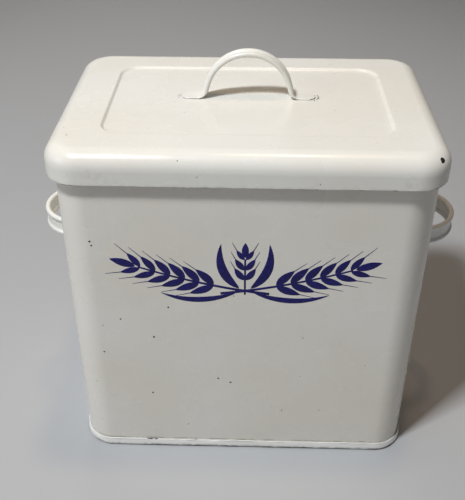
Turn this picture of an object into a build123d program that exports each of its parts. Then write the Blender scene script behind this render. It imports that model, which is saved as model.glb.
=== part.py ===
from build123d import *
import os
from math import acos, cos, pi, radians, sin, sqrt, tan

# Enamelled steel bread bin: a wrapped wall in a clinched base, strap handles and a lift-off lid.
# Millimetres. The origin is the centre of the footprint, +Z is up and the front faces -Y.

# Stock
sheet = 0.8            # steel sheet with its enamel on both sides
wire = 2.2             # rim wire inside the rolled edge
slip = 0.1             # gap left where one pressing is clinched on another

# Bin
body_width = 328.0     # outside of the wall, left to right
body_depth = 222.0     # outside of the wall, front to back
body_height = 334.5    # underside of the base to the top of the rolled rim
body_corner = 29.0     # outside radius of the upright corners
seam_width = 10.0      # lap of the wrapped wall, at the back

# Base
band_height = 10.0     # upturned edge that shows round the foot
band_round = 0.5
floor_lift = 6.0       # underside of the floor above the table

# Lid
hem_clearance = 1.4    # between the lid's folded edge and the rolled rim
seat_clearance = 0.3   # between the rolled rim and the curve of the lid that rests on it
lid_drop = 29.0        # top face to the lower edge of the skirt
lid_edge_round = 16.0  # outside radius between skirt and top
hem_height = 6.0       # edge folded up inside the skirt
corner_ease = 4.0      # the lid's corners are tighter than the rim's, so it rests on its sides
side_border = 45.0     # edge of the lid to the sunk panel, left and right
end_border = 42.0      # the same, front and back
panel_corner = 18.0
panel_sink = 2.0
panel_slope = 45.0     # degrees from upright

# Strap handles: a strip whose two edges are rolled into round beads
strap_sheet = 1.4
strap_bead = 4.8
strap_lean = 17.0      # degrees that the legs lean outwards
strap_bend = 8.0       # bend from leg to foot, on the middle of the strip
foot_length = 21.0     # bend to the rounded tip of the foot

lid_strap_width = 14.5
lid_arch_radius = 38.5   # on the middle of the strip
lid_arch_rise = 44.3     # panel to the top of the beads
lid_handle_back = 8.0    # the handle stands this far behind the middle of the lid

side_strap_width = 19.5
side_handle_drop = 115.0  # top of the rim to the middle of the strap
left_arch_radius = 35.5   # the left strap is bent a little flatter than the right one
left_arch_rise = 37.5
right_arch_radius = 38.5
right_arch_rise = 41.5

# Where the pieces meet
rim_bead = wire + 2 * sheet
rim_middle = body_height - rim_bead / 2
bead_offset = rim_bead / 2 - sheet      # middle of the bead, outside the wall's face
band = 2 * sheet                        # the base's edge is folded double
hem = 2 * sheet                         # and so is the lid's
lid_margin = rim_bead - sheet + hem_clearance + hem

# The rim and the lid's inner curve are circles in section, one inside the other
seat_across = lid_edge_round - lid_margin + bead_offset
seat_reach = lid_edge_round - sheet - rim_bead / 2 - seat_clearance
lid_top = rim_middle - sqrt(seat_reach**2 - seat_across**2) + lid_edge_round
lid_foot = lid_top - lid_drop
panel_top = lid_top - panel_sink

# Plans: width, depth and corner radius
wall_plan = (body_width, body_depth, body_corner)
lid_plan = (
    body_width + 2 * lid_margin,
    body_depth + 2 * lid_margin,
    body_corner + lid_margin - corner_ease,
)
panel_plan = (lid_plan[0] - 2 * side_border, lid_plan[1] - 2 * end_border, panel_corner)

UPRIGHT = (Align.CENTER, Align.CENTER, Align.MIN)


def outline(plan, grow):
    """A plan's rounded rectangle, moved out by grow."""
    width, depth, corner = plan
    return RectangleRounded(width + 2 * grow, depth + 2 * grow, corner + grow)


def slab(plan, grow, low, high):
    """A block of that outline between two heights."""
    return Pos(0, 0, low) * extrude(outline(plan, grow), high - low)


def ring(plan, outer, inner, low, high):
    """What an outer slab leaves round an inner one."""
    return slab(plan, outer, low, high) - slab(plan, inner, low, high)


def swept_round(section):
    """Carry a section round the wall: its x points out of the bin from the face, its y up."""
    path = outline(wall_plan, 0).wire()
    outward = (path % 0).cross(Vector(0, 0, 1))
    start = Plane(origin=path @ 0, x_dir=outward, z_dir=outward.cross(Vector(0, 0, 1)))
    return sweep(start * section, path=path)


def body_wall():
    """Wrapped sheet with its top edge rolled out over a wire and a lap seam at the back."""
    bead = rim_bead / 2
    meet = rim_middle - sqrt(bead**2 - bead_offset**2)
    flat = Polyline((0, meet), (0, sheet), (-sheet, sheet), (-sheet, rim_middle))
    curl = ThreePointArc((-sheet, rim_middle), (bead_offset + bead, rim_middle), (0, meet))
    section = make_face(flat + curl) - Pos(bead_offset, rim_middle) * Circle(wire / 2 + slip)
    seam_foot = band_height + sheet
    lap = Box(seam_width, 2 * sheet, meet - sheet - seam_foot, align=UPRIGHT)
    return swept_round(section) + Pos(0, body_depth / 2, seam_foot) * lap


def rim_wire():
    """Round wire that stiffens the rolled edge."""
    return swept_round(Pos(bead_offset, rim_middle) * Circle(wire / 2))


def base_pan():
    """Floor whose edge runs down, under the foot of the wall and up again outside it."""
    leg = -sheet - slip
    pan = ring(wall_plan, slip + band, slip, 0, band_height)
    pan += ring(wall_plan, slip, leg - sheet, 0, sheet)
    pan += ring(wall_plan, leg, leg - sheet, 0, floor_lift + sheet)
    pan += slab(wall_plan, leg, floor_lift, floor_lift + sheet)
    right_face = pan.faces().sort_by(Axis.X)[-1]
    rims = [edge for edge in right_face.edges() if (edge % 0).Z == 0]
    return fillet(rims, band_round)


def pressing(inset, foot, top, edge_round):
    """One face of the lid as a block: rounded edge, with the sunk panel taken out of the top."""
    block = slab(lid_plan, -inset, foot, top)
    block = fillet(block.edges().group_by(Axis.Z)[-1], edge_round)
    slope = radians(panel_slope)
    spread = inset * (1 / cos(slope) - tan(slope))
    mouth = Pos(0, 0, top) * outline(panel_plan, spread)
    return block - extrude(mouth, -panel_sink, taper=panel_slope)


def lid_shell():
    """Pressed lid: sunk panel, rounded edge, skirt and a hem folded up inside it."""
    shell = pressing(0, lid_foot, lid_top, lid_edge_round)
    shell -= pressing(sheet, lid_foot, lid_top - sheet, lid_edge_round - sheet)
    return shell + ring(lid_plan, -sheet, -hem, lid_foot, lid_foot + hem_height)


def strap_handle(width, arch_radius, rise):
    """Arched strap standing on z = 0, with the arch along X and the strip's width along Y."""
    lean = radians(strap_lean)
    bead = strap_bead / 2
    foot = strap_sheet / 2
    peak = rise - bead - arch_radius + arch_radius / sin(lean)   # where the legs' lines cross
    leg = (peak - foot) * tan(lean)
    tip = leg + foot_length - width / 2
    corners = [(-tip, foot), (-leg, foot), (0, peak), (leg, foot), (tip, foot)]
    spine = Plane.XZ * FilletPolyline(*corners, radius=[strap_bend, arch_radius, strap_bend])
    start = Plane(origin=(-tip, 0, foot), x_dir=(0, 1, 0), z_dir=(1, 0, 0))
    handle = sweep(start * Rectangle(width, strap_sheet), path=spine)
    for side in (-1, 1):
        handle += Pos(side * tip, 0, 0) * extrude(Circle(width / 2), strap_sheet)

    # The beads end in the bend, where their lower side meets the level of the sheet below
    flat = tip - leg - strap_bend * tan((pi / 2 - lean) / 2)
    rise_angle = acos(1 - (bead - foot) / strap_bend)
    share = (flat + strap_bend * rise_angle) / spine.length
    ridge = spine.wire().trim(share, 1 - share)
    for side in (-1, 1):
        path = Pos(0, side * (width / 2 - bead), 0) * ridge
        handle += sweep(Plane(origin=path @ 0, z_dir=path % 0) * Circle(bead), path=path)
        handle += Pos(path @ 0) * Sphere(bead) + Pos(path @ 1) * Sphere(bead)
    return handle


def lid_handle():
    """Strap handle welded to the lid's panel."""
    handle = strap_handle(lid_strap_width, lid_arch_radius, lid_arch_rise)
    return Pos(0, lid_handle_back, panel_top) * handle


def side_handle(side, arch_radius, rise):
    """Strap handle welded to one end of the bin, its arch lying level: side is -1 or 1."""
    end = Plane(
        origin=(side * body_width / 2, 0, body_height - side_handle_drop),
        x_dir=(0, side, 0),
        z_dir=(side, 0, 0),
    )
    return end * strap_handle(side_strap_width, arch_radius, rise)


pieces = {
    "body_wall": body_wall(),
    "rim_wire": rim_wire(),
    "base_pan": base_pan(),
    "side_handle_left": side_handle(-1, left_arch_radius, left_arch_rise),
    "side_handle_right": side_handle(1, right_arch_radius, right_arch_rise),
    "lid_shell": lid_shell(),
    "lid_handle": lid_handle(),
}

os.makedirs("parts", exist_ok=True)
for name, piece in pieces.items():
    export_step(piece.solids()[0], f"parts/{name}.step")
    box = piece.bounding_box()
    print(name, len(piece.solids()), round(piece.volume), piece.is_valid, box.min, box.max)
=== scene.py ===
import bpy
import numpy as np
from mathutils import Matrix, Vector


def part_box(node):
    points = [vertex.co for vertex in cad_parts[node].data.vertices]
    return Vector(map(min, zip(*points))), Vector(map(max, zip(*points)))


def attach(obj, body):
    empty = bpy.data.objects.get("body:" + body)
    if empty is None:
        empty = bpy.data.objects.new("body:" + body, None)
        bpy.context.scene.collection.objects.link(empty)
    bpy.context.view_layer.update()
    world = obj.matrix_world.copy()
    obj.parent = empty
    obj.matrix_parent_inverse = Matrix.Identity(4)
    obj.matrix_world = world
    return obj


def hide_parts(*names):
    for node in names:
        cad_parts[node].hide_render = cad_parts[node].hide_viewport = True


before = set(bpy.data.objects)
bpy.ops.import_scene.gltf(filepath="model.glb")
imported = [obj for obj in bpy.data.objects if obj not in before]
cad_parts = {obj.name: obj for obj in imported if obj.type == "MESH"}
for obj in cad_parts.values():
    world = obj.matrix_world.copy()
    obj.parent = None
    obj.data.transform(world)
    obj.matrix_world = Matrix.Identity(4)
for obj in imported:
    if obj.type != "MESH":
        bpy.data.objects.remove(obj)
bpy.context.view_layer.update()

# --- Base pan -----------------------------------------------------------------------------------
# The bottom of the bin is a shallow pan of enamelled sheet steel. Its edge runs down, under the
# foot of the wall and up again outside it, folded double and hammered tight round the wall, so a
# narrow, slightly lumpy band shows round the foot.

mm = 0.001
sheet = 0.8 * mm                 # steel with its enamel
slip = 0.1 * mm                  # gap where one pressing is clinched on another
floor_lift = 6.0 * mm            # underside of the floor above the table
wall_corner = 29.0 * mm          # outside radius of the wall's upright corners

base_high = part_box("base_pan")[1]
band = 2 * sheet + slip          # outside of the band from the wall's face
band_top = base_high.z
wall_plan = (base_high.x - band, base_high.y - band, wall_corner)   # half-width, half-depth, corner


def round_trip(end_steps, side_steps, corner_steps):
    """One trip round a rounded rectangle, anticlockwise from above, one column a point.

    Each quarter is a straight run, along which the share of the half-length goes from -1 to 1,
    and a quarter circle, along which the normal turns by 90 degrees. The next quarter is the
    same one turned by 90 degrees. Gives the shares along X and Y, and the normals.
    """
    shares = []
    normals = []
    for quarter in range(4):
        start = quarter * np.pi / 2
        steps = (end_steps, side_steps)[quarter % 2]
        run = np.linspace(-1, 1, steps, endpoint=False)
        turn = np.linspace(0, np.pi / 2, corner_steps, endpoint=False)
        first_quarter = np.stack([np.ones(steps + corner_steps), np.append(run, np.ones(corner_steps))])
        spin = np.round([[np.cos(start), -np.sin(start)], [np.sin(start), np.cos(start)]])
        angle = np.append(np.zeros(steps), turn) + start
        shares.append(spin @ first_quarter)
        normals.append(np.stack([np.cos(angle), np.sin(angle)]))
    return np.hstack(shares), np.hstack(normals)


share, normal = round_trip(end_steps=48, side_steps=84, corner_steps=18)


def carried_round(rows, out=0.0, up=0.0):
    """The surface whose row i is a rounded rectangle (half-width a, half-depth b, corner r, height z).

    point = (share * (a - r, b - r) + normal * (r + out), z + up), where out and up are numbers
    or grids.
    """
    a, b, r, z = rows.T[:, :, None]
    x = share[0] * (a - r) + normal[0] * (r + out)
    y = share[1] * (b - r) + normal[1] * (r + out)
    return np.stack(np.broadcast_arrays(x, y, z + up), axis=-1)


def section(corners, step):
    """Points along a sheet's section: straight runs joined by arcs that are tangent to both.

    A corner is (out, up, radius). Where the runs turn by t, the arc starts radius * tan(t / 2)
    before the corner, its centre stands radius to the side of the run, and its points are
    centre + radius * (sin(a) * run - cos(a) * side) for a from 0 to t. The points of a run are
    about a step apart.
    """
    corners = np.array(corners, float)
    spots = corners[:, :2]
    into = spots - np.roll(spots, 1, axis=0)
    into /= np.linalg.norm(into, axis=1)[:, None]
    away = np.roll(into, -1, axis=0)
    turns = np.arctan2(into[:, 0] * away[:, 1] - into[:, 1] * away[:, 0], (into * away).sum(axis=1))
    turns[[0, -1]] = 0                          # the line starts and ends straight
    arcs = []
    for spot, radius, run, turn in zip(spots, corners[:, 2], into, turns):
        if turn == 0:
            arcs.append(spot[None])
            continue
        angle = np.linspace(0, turn, 2 + int(abs(turn) / 0.25))
        side = np.sign(turn) * np.array([-run[1], run[0]])
        centre = spot - run * radius * np.tan(abs(turn) / 2) + side * radius
        arcs.append(centre + radius * (np.sin(abs(angle))[:, None] * run - np.cos(angle)[:, None] * side))
    line = arcs[:1]
    for before, after in zip(arcs, arcs[1:]):
        gap = after[0] - before[-1]
        length = np.linalg.norm(gap)
        if length > 0.01 * mm:                  # or else one arc goes straight into the next
            guard = min(0.5 * mm, length / 4)   # a close neighbour keeps the arc's shading off the run
            along = np.linspace(guard, length - guard, 2 + int(length / step)) / length
            line.append(before[-1] + along[:, None] * gap)
        line.append(after)
    return np.vstack(line)


def rows_round(plan, line):
    """A section as rows for carried_round: each point moves the plan out and stands at its height."""
    a, b, r = plan
    out, up = line.T
    return np.stack([a + out, b + out, r + out, up], axis=1)


def inward(row, count):
    """Rows that shrink evenly from one row to its middle, at one height, without either end."""
    left = np.arange(1, count)[::-1, None] / count
    return row * np.hstack([left, left, left, np.ones_like(left)])


def skin(name, grid, marks, joined=False):
    """A closed mesh from a grid of points whose rows are rings, with quads between neighbours.

    Either the last row joins the first, or a point at the middle of each end row closes it.
    Marks are values per point that the material reads.
    """
    rows, columns = grid.shape[:2]
    index = np.arange(rows * columns).reshape(rows, columns)
    lower = index if joined else index[:-1]
    upper = np.roll(index, -1, axis=0) if joined else index[1:]
    quads = np.stack([lower, np.roll(lower, -1, axis=1), np.roll(upper, -1, axis=1), upper], axis=-1)
    points = grid.reshape(-1, 3)
    faces = quads.reshape(-1, 4).tolist()
    if not joined:
        points = np.vstack([points, grid[0].mean(axis=0), grid[-1].mean(axis=0)])
        pole = np.full(columns, rows * columns)
        first = index[0]
        last = index[-1]
        faces += np.stack([pole, np.roll(first, -1), first], axis=1).tolist()
        faces += np.stack([pole + 1, last, np.roll(last, -1)], axis=1).tolist()
    mesh = bpy.data.meshes.new(name)
    mesh.from_pydata(points.tolist(), [], faces)
    mesh.shade_smooth()
    for mark, values in marks.items():
        values = np.broadcast_to(values, (rows, columns))
        ends = [] if joined else [values[0].mean(), values[-1].mean()]
        attribute = mesh.attributes.new(mark, "FLOAT", "POINT")
        attribute.data.foreach_set("value", np.append(values.ravel(), ends).astype(np.float32))
    piece = bpy.data.objects.new(name, mesh)
    bpy.context.scene.collection.objects.link(piece)
    return piece


def hand_work(seed, waves, strength):
    """How uneven a hammered or rolled edge is along the trip round, from -strength to strength.

    wave = sum of h * sin(n * t + p) over n in the range of waves, for t from 0 to 2 pi round the
    trip, divided by its largest value. The phases p are chance, and so are the heights h, which
    fall off with the root of n.
    """
    chance = np.random.default_rng(seed)
    t = np.linspace(0, 2 * np.pi, share.shape[1], endpoint=False)[:, None]
    n = np.arange(*waves)
    height = chance.uniform(0.3, 1, n.size) / np.sqrt(n)
    wave = (height * np.sin(n * t + chance.uniform(0, 2 * np.pi, n.size))).sum(axis=1)
    return strength * wave / abs(wave).max()


def near(values, place, reach):
    """1 at a place, falling to 0 at reach on either side along the smooth step s * s * (3 - 2 * s)."""
    s = np.clip(1 - abs(values - place) / reach, 0, 1)
    return s * s * (3 - 2 * s)


leg_face = -sheet - slip         # the pan's inner leg stands inside the wall
toe_out = 1.1 * mm               # the band leans out from its lip to its toe
lip_in = 0.75 * mm
toe_lift = 1.9 * mm              # the toe curls up, so its edge stands this far above the table
edge_reach = 3 * mm              # how far from lip and toe the hammer's marks reach
lip_push = 0.35 * mm             # how far it moved the lip out, and the next how far down
lip_dip = 0.8 * mm
toe_push = 0.4 * mm
toe_dip = 0.5 * mm
pan_line = section([             # out from the wall's face, up, radius
    (leg_face - sheet - 8 * mm, floor_lift, 0),
    (leg_face - sheet, floor_lift, 1.2 * mm),
    (leg_face - sheet, 0, 0.7 * mm),
    (band - 2.2 * toe_out, 0, 0.4 * mm),
    (band + toe_out, toe_lift, 0.6 * mm),
    (band + 0.75 * toe_out, 0.35 * band_top, 4 * mm),
    (band - lip_in, band_top, 0.35 * mm),
    (slip, band_top, 0.35 * mm),
    (slip, sheet, 0.25 * mm),
    (leg_face, sheet, 0.25 * mm),
    (leg_face, floor_lift + sheet, 1.6 * mm),
    (leg_face - 9 * mm, floor_lift + sheet, 0),
], step=2 * mm)
floor_steps = 14
edge_rows = rows_round(wall_plan, pan_line)
pan_rows = np.vstack([
    inward(edge_rows[0], floor_steps)[::-1],
    edge_rows,
    inward(edge_rows[-1], floor_steps),
])
pan_out = pan_rows[:, :1] - wall_plan[0]
pan_up = pan_rows[:, 3:]
lip = near(pan_up, band_top, edge_reach) * (pan_out > 0)
toe = near(pan_up, toe_lift, edge_reach) * (pan_out > band)
lip_lumps = hand_work(seed=3, waves=(8, 80), strength=1.7)
toe_lumps = hand_work(seed=5, waves=(5, 40), strength=1.5)
pan_grid = carried_round(
    pan_rows,
    out=lip * lip_push * (1 + lip_lumps) + toe * toe_push * (toe_lumps - 1),
    up=lip * lip_dip * (lip_lumps - 1) + toe * toe_dip * toe_lumps,
)
# Painted shade with dirt: the band's inner face in its crevice against the wall and its toe at the table
# are darkened.
crevice_shade_and_dirt = near(pan_up, 0.4 * band_top, 0.35 * band_top) * (pan_out > -slip) * (pan_out < sheet)
base_pan = skin("base_pan_enamelled", pan_grid, {
    "wear": np.maximum(0.82 * lip, toe),
    "grime_and_shade": crevice_shade_and_dirt + 0.7 * toe,
})


def add(tree, kind, sockets, output=0, **settings):
    """A shader node, given as its output of that name or number.

    Sockets are filled by name or number with a value or with another node's output.
    """
    node = tree.nodes.new("ShaderNode" + kind)
    for setting, value in settings.items():
        setattr(node, setting, value)
    for socket, value in sockets.items():
        if isinstance(value, bpy.types.NodeSocket):
            tree.links.new(value, node.inputs[socket])
        else:
            node.inputs[socket].default_value = value
    return node.outputs[output]


def cloud(tree, place, cells, detail, output=0):
    """Soft noise from 0 to 1, with so many cells to the metre."""
    return add(tree, "TexNoise", {"Vector": place, "Scale": cells, "Detail": detail}, output)


def ramp(tree, value, low, high, start=0.0, stop=1.0):
    """Smooth step: start up to low, stop from high."""
    sockets = {0: value, 1: low, 2: high, 3: start, 4: stop}
    return add(tree, "MapRange", sockets, interpolation_type="SMOOTHSTEP")


def sums(tree, operation, first, second):
    """Two numbers put together."""
    return add(tree, "Math", {0: first, 1: second}, operation=operation)


def blended(tree, cover, under, over):
    """One colour over another where cover is 1."""
    return add(tree, "Mix", {0: cover, 6: under, 7: over}, output=2, data_type="RGBA")


def struck(tree, place, spots):
    """Distance to the nearest of some spots over its radius: under 1 inside one, 9 if there is none.

    A spot is (x, y, z, radius) in millimetres.
    """
    least = 9.0
    for x, y, z, radius in spots:
        spot = (x * mm, y * mm, z * mm)
        gap = add(tree, "VectorMath", {0: place, 1: spot}, output=1, operation="DISTANCE")
        least = sums(tree, "MINIMUM", least, sums(tree, "DIVIDE", gap, radius * mm))
    return least


ground_coat = (0.012, 0.010, 0.012, 1)     # the dark first firing that chips lay bare
rust = (0.11, 0.045, 0.018, 1)
# brown for dirt in pinholes and joints, and for painted shade in creases and at contacts
dirt_and_shade_brown = (0.10, 0.075, 0.05, 1)
rubbed_metal = (0.40, 0.40, 0.37, 1)       # grey streaks that pans and knives leave on enamel
broken_glass = (0.93, 0.93, 0.92, 1)       # the rim of a chip
pinhole_cells = 90                         # to the metre
pinhole_share = 0.12                       # of the cells that hold a pinhole
tear = 1.6 * mm                            # how far the outline of a chip wanders
glass_ior = 1.52


def enamel(name, fresh, aged, chips=(), scuffs=(), chip_at=0.86):
    """Glossy glass enamel fired on steel.

    Two whites drift into each other. On them are pinholes, chips with a pale broken rim and
    rusty specks inside, grey scuffs, and a brown that is dirt in the joints together with painted
    shade in creases and where edges meet the table or the wall; the surface has a fine orange
    peel and a long ripple. An edge is bare where its wear times a noise passes 0.64 * chip_at.
    """
    material = bpy.data.materials.new(name)
    material.use_nodes = True
    tree = material.node_tree
    place = add(tree, "TexCoord", {}, output="Object")
    orange_peel = cloud(tree, place, cells=420, detail=2)
    ragged = cloud(tree, place, cells=650, detail=3)
    drift = cloud(tree, place, cells=8, detail=3)
    mottle = cloud(tree, place, cells=55, detail=4)
    ripple = cloud(tree, place, cells=24, detail=2)

    tone = blended(tree, ramp(tree, drift, 0.3, 0.7), fresh, aged)
    tone = blended(tree, ramp(tree, mottle, 0.40, 0.85, stop=0.22), tone, aged)

    jitter = cloud(tree, place, cells=380, detail=3, output="Color")
    jitter = add(tree, "VectorMath", {0: jitter, 1: (0.5, 0.5, 0.5)}, operation="SUBTRACT")
    torn = add(tree, "VectorMath", {0: jitter, 1: (tear, tear, tear), 2: place}, operation="MULTIPLY_ADD")

    cells = tree.nodes.new("ShaderNodeTexVoronoi")
    cells.inputs["Scale"].default_value = pinhole_cells
    tree.links.new(torn, cells.inputs["Vector"])
    lot = add(tree, "SeparateColor", {0: cells.outputs["Color"]})
    drawn = sums(tree, "GREATER_THAN", lot, 1 - pinhole_share)
    dots = ramp(tree, cells.outputs["Distance"], 0.035, 0.06, start=1.0, stop=0.0)
    holes = sums(tree, "MULTIPLY", drawn, dots)

    wear = add(tree, "Attribute", {}, output="Fac", attribute_name="wear")
    worn = sums(tree, "MULTIPLY", wear, cloud(tree, place, cells=75, detail=5))
    worn = ramp(tree, worn, chip_at * 0.62, chip_at * 0.66)
    chip_gap = struck(tree, torn, chips)
    bare = sums(tree, "MAXIMUM", worn, ramp(tree, chip_gap, 0.85, 1.0, start=1.0, stop=0.0))
    broken_rim = ramp(tree, chip_gap, 1.05, 1.55, start=1.0, stop=0.0)

    # Painted shade with dirt: this mark darkens joints, creases, and edges that meet the table or the wall.
    grime_and_shade = add(tree, "Attribute", {}, output="Fac", attribute_name="grime_and_shade")
    patches = ramp(tree, cloud(tree, place, cells=130, detail=4), 0.36, 0.62)
    stained_and_shaded = sums(tree, "MULTIPLY", grime_and_shade, patches)

    rubbed = ramp(tree, struck(tree, torn, scuffs), 0.2, 1.0, start=0.2, stop=0.0)
    streaks = ramp(tree, cloud(tree, place, cells=210, detail=3), 0.42, 0.6)
    rubbed = sums(tree, "MULTIPLY", rubbed, streaks)

    under_chip = blended(tree, ramp(tree, ragged, 0.5, 0.7), ground_coat, rust)
    tone = blended(tree, rubbed, tone, rubbed_metal)
    tone = blended(tree, sums(tree, "MULTIPLY", stained_and_shaded, 0.8), tone, dirt_and_shade_brown)
    tone = blended(tree, sums(tree, "MULTIPLY", broken_rim, 0.6), tone, broken_glass)
    tone = blended(tree, sums(tree, "MULTIPLY", holes, 0.85), tone, dirt_and_shade_brown)
    tone = blended(tree, bare, tone, under_chip)

    dull = ramp(tree, ripple, 0.3, 0.75, start=0.18, stop=0.30)
    dull = sums(tree, "ADD", dull, sums(tree, "MULTIPLY", mottle, 0.06))
    rough_spots = sums(tree, "MULTIPLY", sums(tree, "MAXIMUM", bare, stained_and_shaded), 0.6)
    dull = sums(tree, "MAXIMUM", dull, rough_spots)

    lost = sums(tree, "MAXIMUM", bare, sums(tree, "MULTIPLY", holes, 0.6))
    bump = add(tree, "Bump", {"Height": ripple, "Distance": 0.30 * mm, "Strength": 1.0})
    peel = {"Height": orange_peel, "Distance": 0.007 * mm, "Strength": 1.0, "Normal": bump}
    bump = add(tree, "Bump", peel)
    pits = {"Height": lost, "Distance": 0.25 * mm, "Strength": 0.8, "Normal": bump}
    bump = add(tree, "Bump", pits, invert=True)

    shader = tree.nodes["Principled BSDF"]
    tree.links.new(tone, shader.inputs["Base Color"])
    tree.links.new(dull, shader.inputs["Roughness"])
    tree.links.new(bump, shader.inputs["Normal"])
    shader.inputs["IOR"].default_value = glass_ior
    return material


ivory = (0.86, 0.845, 0.80, 1)
# Painted light: the base's white is lighter than the lid's ivory, for the light that the band's leaning
# face catches.
base_white_lit = (0.90, 0.885, 0.85, 1)
base_pan.data.materials.append(enamel("enamel_base", base_white_lit, ivory))
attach(base_pan, "bin")
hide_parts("base_pan")

# --- Wall ---------------------------------------------------------------------------------------
# One long sheet of steel wrapped into a rounded box and lapped at the back. Its foot stands in the
# base's channel, and its top edge is rolled outwards over a wire. It is enamelled inside and out.

wall_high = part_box("body_wall")[1]
bead = 1.9 * mm                         # radius of the rolled rim
bead_up = wall_high.z - bead
bead_out = wall_high.x - bead - wall_plan[0]
bore = 1.2 * mm                         # radius that the roll leaves for the wire
curl_start = np.radians(190)            # where the inner face of the wall runs into the roll
curl_end = np.radians(-122)             # the roll stops just short of the wall

wall_foot = section([                   # out, up, radius; close together where the band's lip lies
    (-sheet, bead_up - 1 * mm, 0),
    (-sheet, band_top + 8 * mm, 0),
    (-sheet, sheet + 0.05 * mm, 0.2 * mm),
    (0, sheet + 0.05 * mm, 0.2 * mm),
    (0, band_top - 1.5 * mm, 0),
    (0, band_top - 0.5 * mm, 0),
    (0, band_top + 0.5 * mm, 0),
    (0, band_top + 2 * mm, 0),
    (0, band_top + 5 * mm, 0),
    (0, bead_up - 4 * mm, 0),
    (0, bead_up - 0.7 * mm, 0),
], step=5 * mm)

# The roll is the bore's circle, a half circle round the end of the sheet and the bead's circle back.
inner_turn = np.linspace(curl_start, curl_end, 30)[:, None]
outer_turn = np.linspace(curl_end, np.pi, 34)[:, None]
end_turn = np.linspace(0, np.pi, 7)[1:-1, None]
end_middle = (bore + bead) / 2
end_round = (bead - bore) / 2
end_outward = np.array([[np.cos(curl_end), np.sin(curl_end)]])
end_ahead = np.array([[np.sin(curl_end), -np.cos(curl_end)]])
round_the_wire = np.vstack([
    bore * np.hstack([np.cos(inner_turn), np.sin(inner_turn)]),
    (end_middle - end_round * np.cos(end_turn)) * end_outward + end_round * np.sin(end_turn) * end_ahead,
    bead * np.hstack([np.cos(outer_turn), np.sin(outer_turn)]),
]) + [bead_out, bead_up]
wall_rows = rows_round(wall_plan, np.vstack([wall_foot, round_the_wire]))
wall_out = wall_rows[:, :1] - wall_plan[0]
wall_up = wall_rows[:, 3:]

swell_most = 0.45 * mm
swell_reach = 130 * mm                  # the swell dies out this far from the middle of a side


def oil_can(x, up):
    """How far a flat side swells out, x along it from its middle and up it from the table.

    swell = swell_most * calm * sin(x / 47 mm + 0.6) * cos(up / 60 mm + 0.4), where calm is
    (1 - (x / swell_reach)^2)^2 * sin(pi * up / bead_up)^2, so there is none at the corners, the
    foot and the rim.
    """
    calm = np.clip(1 - (x / swell_reach) ** 2, 0, 1) ** 2 * np.sin(np.pi * np.clip(up / bead_up, 0, 1)) ** 2
    return swell_most * calm * np.sin(x / (47 * mm) + 0.6) * np.cos(up / (60 * mm) + 0.4)


wall_at = carried_round(wall_rows)
front_or_back = abs(normal[1]) > 0.999
left_or_right = abs(normal[0]) > 0.999
along_side = np.where(front_or_back, wall_at[..., 0], wall_at[..., 1] * 1.5)    # an end is shorter
swell = oil_can(along_side, wall_up) * (front_or_back | left_or_right)
wall = skin("wall_enamelled", carried_round(wall_rows, out=swell), {
    "wear": near(wall_up, wall_high.z, 1.6 * mm) * 0.86,
    # Painted shade with dirt: a dark line on the wall just above the band's lip, where the crevice is
    # shaded.
    "grime_and_shade": 0.6 * near(wall_up, band_top, 1.4 * mm) * (wall_out > -0.1 * mm),
}, joined=True)

wall_chips = [                          # x, y, z, radius in mm
    (-135, -111, 255, 1.1), (-134, -111, 251, 0.9), (-70, -111, 184, 1.0), (-115, -111, 169, 0.9),
    (-85, -111, 148, 1.2), (-134, -111, 128, 0.9), (-25, -111, 96, 1.1), (-13, -111, 91, 1.1),
    (-90, -111, 75, 1.1), (-56, -111, 31, 0.8), (-132, -111, 161, 0.5), (-10, -111, 198, 0.6),
    (39, -111, 54, 0.8), (76, -111, 55, 0.7), (55, -111, 150, 0.6), (116, -111, 117, 0.5),
    (-141, -111, 205, 0.7), (-146, -110, 188, 0.8), (-150, -108, 176, 0.7), (-143, -111, 146, 0.6),
    (-152, -107, 212, 0.9), (-155, -106, 203, 0.8), (-156, -105, 232, 0.6), (-153, -107, 168, 0.7),
    (164, 20, 140, 0.9), (164, -48, 82, 0.7), (-164, 35, 118, 0.9), (-164, -30, 62, 0.8),
    (-60, 111, 90, 0.9), (88, 111, 210, 0.8), (24, 111, 44, 0.7),
]
# The wall's cream is darker and warmer than the lid's ivory: partly its own tone, partly painted shade for
# the upright wall, which gets less light than the lid's top.
wall_cream_and_shade = (0.86, 0.825, 0.765, 1)
aged_wall_cream_and_shade = (0.82, 0.775, 0.69, 1)
bin_enamel = enamel("enamel_bin", wall_cream_and_shade, aged_wall_cream_and_shade, wall_chips)
wall.data.materials.append(bin_enamel)
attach(wall, "bin")
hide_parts("body_wall")

# --- Lap seam -----------------------------------------------------------------------------------
# Where the wrapped sheet ends, at the back, it laps over its own start by 10 mm. The edge is cut by
# hand shears, and a row of spot welds holds it down under the enamel.

lap_half = 5.0 * mm
lap_thick = 0.4 * mm                    # half the thickness of the lapped sheet
lap_middle = 0.35 * mm                  # its middle off the wall's face
lap_square = 0.4                        # power that squares the ellipse of its section
shear_slip = 0.25 * mm
weld_pitch = 26 * mm
weld_deep = 0.35 * mm
weld_wide = 2.2 * mm
lap_gap = 1.2 * mm                      # left above the band and below the roll
lap_up = np.linspace(band_top + lap_gap, bead_up - lap_gap, 160)[:, None]
lap_turn = np.linspace(0, 2 * np.pi, 40, endpoint=False)

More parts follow.
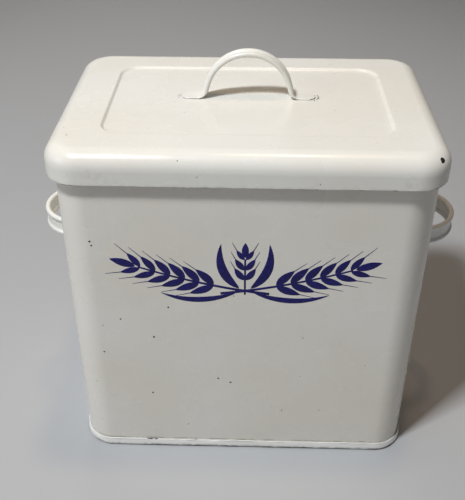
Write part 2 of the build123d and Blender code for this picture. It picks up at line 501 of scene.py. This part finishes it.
# Section: x = half * |cos t|^0.4 and proud = thick * |sin t|^0.4, each with its sign.
cut = shear_slip * np.sin(lap_up / (19 * mm)) * np.cos(lap_up / (7 * mm) + 1)
lap_x = np.sign(np.cos(lap_turn)) * abs(np.cos(lap_turn)) ** lap_square * (lap_half + cut)
from_weld = (lap_up - bead_up / 2 + weld_pitch / 2) % weld_pitch - weld_pitch / 2
dimple = weld_deep * np.exp(-(lap_x**2 + from_weld**2) / weld_wide**2)
lap_proud = np.sign(np.sin(lap_turn)) * abs(np.sin(lap_turn)) ** lap_square * lap_thick
lap_proud = lap_proud - dimple * (np.sin(lap_turn) > 0) + lap_middle
lap_y = wall_plan[1] + oil_can(lap_x, lap_up) + lap_proud
seam = skin("wall_lap_enamelled", np.stack(np.broadcast_arrays(lap_x, lap_y, lap_up), axis=-1), {
    "wear": 0.25,
    "grime_and_shade": 0.7 * near(abs(lap_x), lap_half, 1 * mm),
})
seam.data.materials.append(bin_enamel)
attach(seam, "bin")
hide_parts("body_wall")

# --- Rim wire -----------------------------------------------------------------------------------
# Drawn steel wire inside the rolled rim. It stiffens the mouth of the bin, is held by the roll
# alone and hardly shows, so it keeps its own shape and gets a drawn, slightly rusty finish.

bare_steel = (0.42, 0.41, 0.39, 1)
wire_steel = bpy.data.materials.new("drawn_steel")
wire_steel.use_nodes = True
steel_tree = wire_steel.node_tree
steel_place = add(steel_tree, "TexCoord", {}, output="Object")
steel_cloud = cloud(steel_tree, steel_place, cells=160, detail=4)
steel_tone = blended(steel_tree, ramp(steel_tree, steel_cloud, 0.5, 0.7), bare_steel, rust)
steel_dull = ramp(steel_tree, steel_cloud, 0.4, 0.7, start=0.3, stop=0.7)
steel_lines = cloud(steel_tree, steel_place, cells=900, detail=2)
steel_bump = add(steel_tree, "Bump", {"Height": steel_lines, "Distance": 0.02 * mm})
steel_shader = steel_tree.nodes["Principled BSDF"]
steel_tree.links.new(steel_tone, steel_shader.inputs["Base Color"])
steel_tree.links.new(steel_dull, steel_shader.inputs["Roughness"])
steel_tree.links.new(steel_bump, steel_shader.inputs["Normal"])
steel_shader.inputs["Metallic"].default_value = 1.0
rim_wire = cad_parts["rim_wire"]
rim_wire.data.materials.clear()
rim_wire.data.materials.append(wire_steel)

# --- Ornament -----------------------------------------------------------------------------------
# Two ears of wheat, a short upright one and some leaves, in navy glass enamel, stencilled on the
# front of the wall and fired on, so they stand a hair proud of it.

ornament_up = 228.0 * mm          # middle of the ornament above the table
ink_thick = 0.14 * mm
stroke_back = 0.1 * mm            # a stroke's back lies this far under the wall's face
least_half = 0.03 * mm            # half-width at the very end of a leaf


def stroke(line, half_width, thick):
    """One fired-on brush stroke as a closed grid round its middle line.

    across = half_width * cos(t) and proud = thick * sqrt(sin(t)), or stroke_back * sin(t) where
    that is negative, for t from 0 to 2 pi.
    """
    t = np.linspace(0, 2 * np.pi, 12, endpoint=False)
    ahead = np.gradient(line, axis=0)
    ahead /= np.linalg.norm(ahead, axis=1)[:, None]
    across = np.stack([ahead[:, 1], -ahead[:, 0]], axis=1)
    proud = np.where(np.sin(t) > 0, np.abs(np.sin(t)) ** 0.5 * thick, np.sin(t) * stroke_back)
    spots = line[:, None] + across[:, None] * half_width[:, None, None] * np.cos(t)[None, :, None]
    x = spots[..., 0]
    up = spots[..., 1] + ornament_up
    face = -wall_plan[1] - oil_can(x, up)
    return np.stack([x, face - proud, up], axis=-1)


def curve(start, bend, stop, count):
    """Points on (1 - t)^2 * start + 2 t (1 - t) * bend + t^2 * stop, all in mm from the middle."""
    t = np.linspace(0, 1, count)[:, None]
    start, bend, stop = np.array([start, bend, stop]) * mm
    return (1 - t) ** 2 * start + 2 * t * (1 - t) * bend + t ** 2 * stop


def leaf_shape(count, widest):
    """Half-width along a leaf or grain: sin(pi * s)^0.8, with s bent so that it is 1 at widest."""
    s = np.linspace(0, 1, count) ** (np.log(0.5) / np.log(widest))
    return np.sin(np.pi * s) ** 0.8


grain_points = 16
grain_lean = np.radians(39)       # of a grain from the stem
grain_root = 0.8 * mm             # from the middle of the stem
grain_curl = 0.16                 # of its length, along the stem
grain_taper = 0.22                # how much smaller the last pair is than the first
first_pair = 0.44                 # share of the stem
last_pair = 0.985
awn_lean = np.radians(27)
awn_reach = 0.8                   # of the length of a grain
stem_points = 40
leaf_points = 24


def ear(stem, pairs, size, strokes):
    """Grains in pairs along a stem, each with an awn beyond it, and one grain at the tip.

    A grain's middle line is root + length * (t * out + t^2 * grain_curl * forward), where out
    leans from the stem by grain_lean. Size is the length and width of a grain in mm.
    """
    length, width = np.array(size) * mm
    ahead = np.gradient(stem, axis=0)
    ahead /= np.linalg.norm(ahead, axis=1)[:, None]
    steps = np.linspace(0, 1, len(stem))
    t = np.linspace(0, 1, grain_points)[:, None]
    shape = leaf_shape(grain_points, 0.45) * width / 2
    for way in np.linspace(first_pair, last_pair, pairs):
        root = np.array([np.interp(way, steps, stem[:, axis]) for axis in (0, 1)])
        forward = np.array([np.interp(way, steps, ahead[:, axis]) for axis in (0, 1)])
        beside = np.array([-forward[1], forward[0]])
        small = 1 - grain_taper * ((way - first_pair) / (1 - first_pair)) ** 2
        for side in (-1, 1):
            out = np.cos(grain_lean) * forward + side * np.sin(grain_lean) * beside
            curl = forward * grain_curl * length * small
            grain = root + side * beside * grain_root + t * length * small * out + t * t * curl
            strokes.append((grain, shape * small + least_half, ink_thick))
            awn_out = np.cos(awn_lean) * forward + side * np.sin(awn_lean) * beside
            awn = grain[-3] + t * length * awn_reach * awn_out
            strokes.append((awn, np.linspace(0.5, 0.2, grain_points) * mm, ink_thick * 0.7))
    tip = stem[-1] + (t * 1.15 + 0.12) * length * ahead[-1]
    strokes.append((tip, shape + least_half, ink_thick))


strokes = []
for side in (-1, 1):
    stem = curve((-side * 22, -27), (side * 34, -20), (side * 95, 1), stem_points)
    strokes.append((stem, np.linspace(1.5, 0.9, stem_points) * mm, ink_thick * 0.8))
    ear(stem, 6, (20.5, 8.0), strokes)
    leaf = curve((side * 5, -21), (side * 27, -4), (side * 21, 27), leaf_points)
    strokes.append((leaf, leaf_shape(leaf_points, 0.42) * 4.3 * mm + least_half, ink_thick * 0.9))
    low_leaf = curve((side * 8, -26), (side * 44, -42), (side * 76, -27), leaf_points)
    strokes.append((low_leaf, leaf_shape(leaf_points, 0.45) * 3.0 * mm + least_half, ink_thick * 0.9))
middle_stem = curve((0, -28), (0, -10), (0, 11), leaf_points)
strokes.append((middle_stem, np.full(leaf_points, 0.9 * mm), ink_thick * 0.8))
ear(middle_stem, 3, (13.5, 6.2), strokes)

navy = (0.005, 0.004, 0.10, 1)
light_navy = (0.008, 0.006, 0.15, 1)
pit_navy = (0.10, 0.10, 0.24, 1)
ink = bpy.data.materials.new("navy_glass")
ink.use_nodes = True
ink_tree = ink.node_tree
ink_place = add(ink_tree, "TexCoord", {}, output="Object")
ink_cloud = cloud(ink_tree, ink_place, cells=90, detail=4)
ink_tone = blended(ink_tree, ramp(ink_tree, ink_cloud, 0.35, 0.7), navy, light_navy)
ink_pits = ramp(ink_tree, cloud(ink_tree, ink_place, cells=900, detail=2), 0.70, 0.76)
ink_tone = blended(ink_tree, ink_pits, ink_tone, pit_navy)
ink_dull = ramp(ink_tree, ink_cloud, 0.3, 0.8, start=0.22, stop=0.36)
ink_grain = cloud(ink_tree, ink_place, cells=500, detail=2)
ink_bump = add(ink_tree, "Bump", {"Height": ink_grain, "Distance": 0.02 * mm})
ink_shader = ink_tree.nodes["Principled BSDF"]
ink_tree.links.new(ink_tone, ink_shader.inputs["Base Color"])
ink_tree.links.new(ink_dull, ink_shader.inputs["Roughness"])
ink_tree.links.new(ink_bump, ink_shader.inputs["Normal"])
ink_shader.inputs["Specular IOR Level"].default_value = 0.3

parts = [skin(f"stroke_{number}", stroke(*made), {}) for number, made in enumerate(strokes)]
with bpy.context.temp_override(active_object=parts[0], selected_editable_objects=parts):
    bpy.ops.object.join()
ornament = parts[0]
ornament.name = "wheat_ornament"
ornament.data.materials.append(ink)
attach(ornament, "bin")

# --- Side handles -------------------------------------------------------------------------------
# Each end carries a level strap handle: a steel strip whose edges are rolled into round beads,
# bent into an arch, with flat feet that end in a round tip. The feet are welded to the wall and
# the whole is enamelled over.

strip = 0.7 * mm                  # half the thickness of the strip
strap_bead = 2.4 * mm             # radius of the beads along its edges
leg_angle = np.radians(73)        # how steeply a leg rises from its foot
foot_bend = 8.0 * mm              # radius of the bend between them
foot_length = 21.0 * mm           # from the bend's corner to the tip
bead_start = 0.25                 # share of the bend where the beads begin to rise
fine_steps = 6001                 # of the walk along the middle line
strap_rows = 190                  # between the round tips


def strap(width, arch, rise):
    """A strap standing on z = 0, arched along X up to rise, and width wide along Y, with its marks.

    Its middle line is walked by its heading, x and z being the running sums of the heading's
    cosine and sine. The heading is 0 on the foot, grows to leg_angle in the bend, stays so up the
    leg, falls to -leg_angle over the arch, and comes back to 0 in the other bend.

    The section at each point is two beads and the strip between them: outside the middle of a
    bead its height is the circle's, and inside it is (bead^8 + strip^8)^(1/8). The beads fade
    into the strip in the bend, and the feet end in half circles.
    """
    reach = foot_bend * np.tan(leg_angle / 2)
    peak = rise - strap_bead - arch + arch / np.cos(leg_angle)      # where the legs' lines cross
    leg = (peak - strip) / np.sin(leg_angle) - reach - arch * np.tan(leg_angle)
    foot = foot_length - reach
    bend = foot_bend * leg_angle
    runs = np.array([foot, bend, leg, 2 * arch * leg_angle, leg, bend, foot])
    knots = np.append(0, np.cumsum(runs))
    headings = leg_angle * np.array([0, 0, 1, 1, -1, -1, 0, 0])
    total = knots[-1]
    fine = np.linspace(0, total, fine_steps)
    heading = np.interp((fine[1:] + fine[:-1]) / 2, knots, headings)
    walked_x = np.append(0, np.cumsum(np.cos(heading))) * fine[1]
    walked_z = np.append(0, np.cumsum(np.sin(heading))) * fine[1] + strip
    walked_x -= walked_x[-1] / 2

    # Ways along it: close together over the rounded edge of a tip, then over its half circle
    tip = width / 2
    tip_way = tip * (1 - np.cos(np.linspace(0.05, np.pi / 2, 26)))
    tip_way = np.append(strip * np.array([0.03, 0.12, 0.3, 0.6]), tip_way[tip_way > strip])
    middle_way = np.linspace(tip, total - tip, strap_rows)[1:-1]
    way = np.concatenate([tip_way, middle_way, (total - tip_way)[::-1]])
    from_end = np.minimum(way, total - way)
    half = np.sqrt(np.clip(tip**2 - np.clip(tip - from_end, 0, None) ** 2, 0, None))
    thick = strip * np.sqrt(1 - np.clip(1 - from_end / strip, 0, 1) ** 2)
    rising = np.clip((from_end - foot - bead_start * bend) / bend, 0, 1)
    rising = rising**2 * (3 - 2 * rising)
    bead_here = np.minimum(thick + (strap_bead - strip) * rising, half)

    # One quarter of the section, v across and n along the normal, and its mirror images
    turn = np.radians(np.arange(0, 151, 12.5))
    beads_v = (half - bead_here)[:, None] + bead_here[:, None] * np.cos(turn)
    beads_n = bead_here[:, None] * np.sin(turn)
    rounded_n = (np.abs(beads_n) ** 8 + thick[:, None] ** 8) ** 0.125
    beads_n = np.where(np.cos(turn) < 0, rounded_n, beads_n)
    quarter_v = np.hstack([beads_v, beads_v[:, -1:] * np.array([0.8, 0.5, 0.2])])
    quarter_n = np.hstack([beads_n, np.repeat(thick[:, None], 3, axis=1)])
    over_v = np.hstack([quarter_v, -quarter_v[:, ::-1]])
    over_n = np.hstack([quarter_n, quarter_n[:, ::-1]])
    v = np.hstack([over_v, -over_v[:, 1:-1]])
    n = np.hstack([over_n, -over_n[:, 1:-1]])

    angle = np.interp(way, knots, headings)[:, None]
    x = np.interp(way, fine, walked_x)[:, None] - np.sin(angle) * n
    z = np.interp(way, fine, walked_z)[:, None] + np.cos(angle) * n
    at_foot = np.clip(1.15 - rising * 3, 0, 1)[:, None]     # 0 from where the beads have risen by 0.38
    marks = {
        "wear": np.clip(abs(n) / strap_bead, 0, 1) ** 4 * 0.62 + 0.25 * at_foot,
        # The feet are darker on the side that lies against the wall.
        "grime_and_shade": at_foot * np.clip(0.4 - n / strip, 0, 1),
    }
    return np.stack([x, v, z], axis=-1), marks


def stood(points, origin, along, across, away):
    """Points turned so that their X, Y and Z run along, across and away, and moved to an origin."""
    return np.array(origin) + points @ np.array([along, across, away], float)


left_arch = 35.5 * mm             # on the middle of the strip; the left one is bent flatter
right_arch = 38.5 * mm
handle_white = (0.87, 0.86, 0.82, 1)
handle_aged = (0.80, 0.78, 0.71, 1)
handle_chip_at = 0.80
left_low, left_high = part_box("side_handle_left")
right_low, right_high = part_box("side_handle_right")
side_width = right_high.z - right_low.z
handle_enamel = enamel("enamel_side_handles", handle_white, handle_aged, chip_at=handle_chip_at)
for name, side, arch, low, high in (
    ("left", -1, left_arch, left_low, left_high),
    ("right", 1, right_arch, right_low, right_high),
):
    grid, marks = strap(side_width, arch, high.x - low.x)
    height = (low.z + high.z) / 2
    grid = stood(grid, (side * wall_plan[0], 0, height), (0, side, 0), (0, 0, 1), (side, 0, 0))
    handle = skin(f"side_handle_{name}_enamelled", grid, marks)
    handle.data.materials.append(handle_enamel)
    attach(handle, "bin")
    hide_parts(f"side_handle_{name}")

# --- Lid ----------------------------------------------------------------------------------------
# Pressed from one sheet of steel and enamelled: a shallow sunk panel, a flat border, a large round
# edge and a straight skirt whose lower edge is folded up inside. It lies loose on the rolled rim.

lid_low, lid_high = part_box("lid_shell")
lid_corner = 31.0 * mm
edge_round = 16.0 * mm            # between skirt and top
hem_height = 6.0 * mm
side_border = 45.0 * mm           # edge of the lid to the sunk panel, left and right
end_border = 42.0 * mm            # the same, front and back
panel_corner = 18.0 * mm
panel_sink = 2.0 * mm
panel_edge = 1.6 * mm             # half the width of the slope into the panel, with its round edges
lid_plan = (lid_high.x, lid_high.y, lid_corner)
panel_plan = np.array([lid_high.x - side_border, lid_high.y - end_border, panel_corner])

lid_line = section([              # out from the skirt's face, up, radius
    (-edge_round, lid_high.z - sheet, 0),
    (-sheet, lid_high.z - sheet, edge_round - sheet),
    (-sheet, lid_low.z + hem_height + 1 * mm, 0.3 * mm),
    (-1.9 * sheet, lid_low.z + hem_height + 0.4 * mm, 0.3 * mm),
    (-2 * sheet, lid_low.z, 0.75 * mm),
    (0, lid_low.z, 0.75 * mm),
    (0, lid_high.z, edge_round),
    (-edge_round, lid_high.z, 0),
], step=2.5 * mm)


def across_border(row, sink_from, sink_to):
    """Rows from the round edge's inner row over the border and down the slope to the panel.

    The border's rows go evenly from that row's plan to the panel's. The slope's heights go from
    sink_from to sink_to along the smooth step t^2 * (3 - 2 * t).
    """
    border = np.linspace(0, 1, 12)[1:-1, None]
    rim = panel_plan + panel_edge
    flat = row[:3] * (1 - border) + rim * border
    t = np.linspace(0, 1, 15)[:, None]
    slope = rim - 2 * panel_edge * t
    step = np.append(np.zeros(len(flat)), t * t * (3 - 2 * t))
    return np.hstack([np.vstack([flat, slope]), (sink_from + (sink_to - sink_from) * step)[:, None]])


skirt_rows = rows_round(lid_plan, lid_line)
under = across_border(skirt_rows[0], lid_high.z - sheet, lid_high.z - sheet - panel_sink)[::-1]
over = across_border(skirt_rows[-1], lid_high.z, lid_high.z - panel_sink)
panel_steps = 18
lid_rows = np.vstack([
    inward(under[0], panel_steps)[::-1],
    under,
    skirt_rows,
    over,
    inward(over[-1], panel_steps),
])
lid_at = carried_round(lid_rows)
lid_up = lid_rows[:, 3:]
lid_out = lid_rows[:, :1] - lid_plan[0]

# The top sags a little, but not where the handle is welded on, and the skirt and hem are uneven.
grip_foot_back = 8 * mm
grip_calm = 26 * mm
grip_half = 80 * mm
sag_most = 0.22 * mm
sway_most = 0.35 * mm
hem_lump = 0.18 * mm
reach_x = lid_at[..., 0] / lid_plan[0]
reach_y = lid_at[..., 1] / lid_plan[1]
calm = np.clip(1 - reach_x**2, 0, 1) * np.clip(1 - reach_y**2, 0, 1)
off_handle = 1 - near(lid_at[..., 1], grip_foot_back, grip_calm) * (abs(lid_at[..., 0]) < grip_half)
sag = sag_most * calm * np.sin(4.1 * reach_x + 0.5) * np.cos(3.3 * reach_y - 0.8) * off_handle
skirt = np.clip((lid_high.z - lid_up) / edge_round, 0, 1) * (lid_out > -edge_round)
skirt_sway = hand_work(seed=11, waves=(2, 12), strength=sway_most) - sway_most
hem_lumps = hand_work(seed=12, waves=(10, 60), strength=hem_lump) + hem_lump
hem_near = near(lid_up, lid_low.z, 3 * mm)
outside = lid_out > -0.4 * sheet
lid_grid = carried_round(lid_rows, out=skirt * skirt_sway, up=sag + hem_near * hem_lumps)
lid_shell = skin("lid_enamelled", lid_grid, {
    "wear": np.maximum(hem_near * 0.98, 0.30 * outside),
    "grime_and_shade": hem_near * 0.25,
})

lid_chips = [                     # x, y, z, radius in mm
    (-151, -81, 342, 0.9), (-94, -115, 337, 1.0), (157.8, -105.7, 335.9, 2.7), (166.7, -100, 325.8, 1.2),
    (-163, -106, 334, 0.6), (-40, -117, 323, 0.6), (60, -117, 318, 0.6), (153.6, -113.0, 313, 1.0),
    (158.6, -109.4, 313, 1.3), (162.4, -105.6, 313, 1.5), (165.5, -101.3, 313, 1.5),
    (167.8, -96.4, 313, 1.3), (169.5, -90, 313, 1.0), (-64, 5, 339.8, 0.8), (-64.3, 8, 339.8, 0.9),
    (-63.6, 11, 339.8, 0.7), (63.3, 3, 339.8, 0.7), (64.6, 6, 339.8, 1.0), (65, 9, 339.8, 1.0),
    (64.2, 12, 339.8, 0.8), (61, 1, 339.8, 0.7), (150, 112, 331, 1.6), (-166, 60, 330, 0.9),
    (167, 40, 333, 0.8),
]
lid_scuffs = [(-128, -117, 324, 8), (-119, -117, 319, 9), (-103, -117, 318, 7), (132, -117, 320, 9)]
aged_ivory = (0.83, 0.80, 0.73, 1)
lid_shell.data.materials.append(enamel("enamel_lid", ivory, aged_ivory, lid_chips, lid_scuffs))
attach(lid_shell, "lid")
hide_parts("lid_shell")

# --- Lid handle ---------------------------------------------------------------------------------
# The same kind of strap handle, narrower, stands on the panel and is welded to it. The enamel is
# chipped round the tips of its feet.

grip_low, grip_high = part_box("lid_handle")
grip_arch = 38.5 * mm
grip_grid, grip_marks = strap(grip_high.y - grip_low.y, grip_arch, grip_high.z - grip_low.z)
grip_back = (grip_low.y + grip_high.y) / 2
grip_grid = stood(grip_grid, (0, grip_back, grip_low.z), (1, 0, 0), (0, 1, 0), (0, 0, 1))
lid_handle = skin("lid_handle_enamelled", grip_grid, grip_marks)
tip_chips = [                     # x, y, z, radius in mm
    (-62, 6, 340.6, 1.1), (-62, 10, 340.6, 0.8), (-59.5, 2, 340.6, 0.7),
    (62, 9, 340.6, 1.1), (61.5, 4, 340.6, 1.2), (58, 1, 340.6, 0.8),
]
grip_enamel = enamel("enamel_lid_handle", handle_white, handle_aged, tip_chips, chip_at=handle_chip_at)
lid_handle.data.materials.append(grip_enamel)
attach(lid_handle, "lid")
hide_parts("lid_handle")

# --- Room ---------------------------------------------------------------------------------------
# A pale painted floor that greys away from the bin, rises into a plain backdrop all round and
# closes overhead. A cool lamp stands high in front on the left, a wide cool one low on the left,
# a small warm one overhead and a soft one behind.

floor_reach = 2.4                 # metres from the middle to where the floor starts to rise
sweep_round = 1.2                 # radius of its rise
ceiling_up = 3.4
sweep_turn = np.linspace(0, np.pi / 2, 16)[1:]
flat_reach = np.linspace(0.02, floor_reach, 24)[1:]
floor_out = np.concatenate([
    flat_reach,
    floor_reach + sweep_round * np.sin(sweep_turn),
    [floor_reach + sweep_round],
])[::-1, None]
floor_up = np.concatenate([
    np.zeros(len(flat_reach)),
    sweep_round * (1 - np.cos(sweep_turn)),
    [ceiling_up],
])[::-1, None]
way_round = np.linspace(0, 2 * np.pi, 96, endpoint=False)
floor_x = floor_out * np.cos(way_round)
floor_y = floor_out * np.sin(way_round)
studio_floor = skin("studio_floor", np.stack(np.broadcast_arrays(floor_x, floor_y, floor_up), axis=-1), {})

near_paint = (0.47, 0.475, 0.49, 1)
far_paint = (0.37, 0.375, 0.38, 1)
floor_paint = bpy.data.materials.new("studio_paint")
floor_paint.use_nodes = True
floor_tree = floor_paint.node_tree
floor_place = add(floor_tree, "TexCoord", {}, output="Object")
from_bin = add(floor_tree, "VectorMath", {0: floor_place}, output=1, operation="LENGTH")
floor_tone = blended(floor_tree, ramp(floor_tree, from_bin, 0.7, 2.0), near_paint, far_paint)
floor_shader = floor_tree.nodes["Principled BSDF"]
floor_tree.links.new(floor_tone, floor_shader.inputs["Base Color"])
floor_shader.inputs["Roughness"].default_value = 0.7
studio_floor.data.materials.append(floor_paint)


def lamp(name, spot, aim, width, power, colour):
    """A square lamp at a spot, facing aim, as its object."""
    light = bpy.data.lights.new(name, "AREA")
    light.size = width
    light.energy = power
    light.color = colour
    shown = bpy.data.objects.new(name, light)
    shown.rotation_mode = "QUATERNION"
    shown.rotation_quaternion = (Vector(aim) - Vector(spot)).to_track_quat("-Z", "Y")
    shown.location = spot
    bpy.context.scene.collection.objects.link(shown)
    return shown


cool_white = (0.95, 0.98, 1.0)
sky_white = (0.88, 0.95, 1.0)
bulb_white = (1.0, 0.72, 0.46)
soft_white = (1.0, 0.95, 0.88)
lamp("key_lamp", (-0.80, -0.85, 2.40), aim=(0, 0, 0.2), width=0.30, power=51.0, colour=cool_white)
lamp("ceiling_lamp", (0.16, 0.08, 2.6), aim=(0, 0, 0.2), width=0.20, power=9.0, colour=bulb_white)
lamp("window", (-1.7, -0.8, 0.9), aim=(0, 0, 0.15), width=0.8, power=4.0, colour=sky_white)
rear_lamp = lamp("rear_lamp", (-0.4, 1.9, 1.1), aim=(0, 0, 0.15), width=0.6, power=5.0, colour=soft_white)
rear_lamp.visible_glossy = False          # it fills the back and leaves no glare on the lid

# The room is closed, so the world's light only shows where the room is left out.
world = bpy.data.worlds.new("room")
world.use_nodes = True
bpy.context.scene.world = world
world_light = world.node_tree.nodes["Background"]
world_light.inputs["Color"].default_value = (1.0, 0.88, 0.76, 1)
world_light.inputs["Strength"].default_value = 0.10

# --- Camera -------------------------------------------------------------------------------------
# Fitted by least squares to the edges of the lid, its panel, the wall and the band in the
# photograph, which is 465 pixels wide and 500 high.

photo_height = 500                # pixels
focal_pixels = 769.79
sensor_height = 36.0
camera_spot = (3.52 * mm, -661.17 * mm, 626.01 * mm)
yaw, pitch, roll = np.radians([-1.53, -34.43, 0.11])
ahead = np.array([np.sin(yaw) * np.cos(pitch), np.cos(yaw) * np.cos(pitch), np.sin(pitch)])
level = np.array([np.cos(yaw), -np.sin(yaw), 0])
upright = np.cross(level, ahead)
camera_right = level * np.cos(roll) + upright * np.sin(roll)
camera_up = upright * np.cos(roll) - level * np.sin(roll)
lens = bpy.data.cameras.new("camera")
lens.sensor_fit = "VERTICAL"
lens.sensor_height = sensor_height
lens.lens = sensor_height * focal_pixels / photo_height
camera = bpy.data.objects.new("camera", lens)
bpy.context.scene.collection.objects.link(camera)
turned = Matrix(np.stack([camera_right, camera_up, -ahead], axis=1).tolist()).to_4x4()
camera.matrix_world = Matrix.Translation(camera_spot) @ turned
bpy.context.scene.camera = camera
bpy.context.scene.view_settings.view_transform = "Standard"
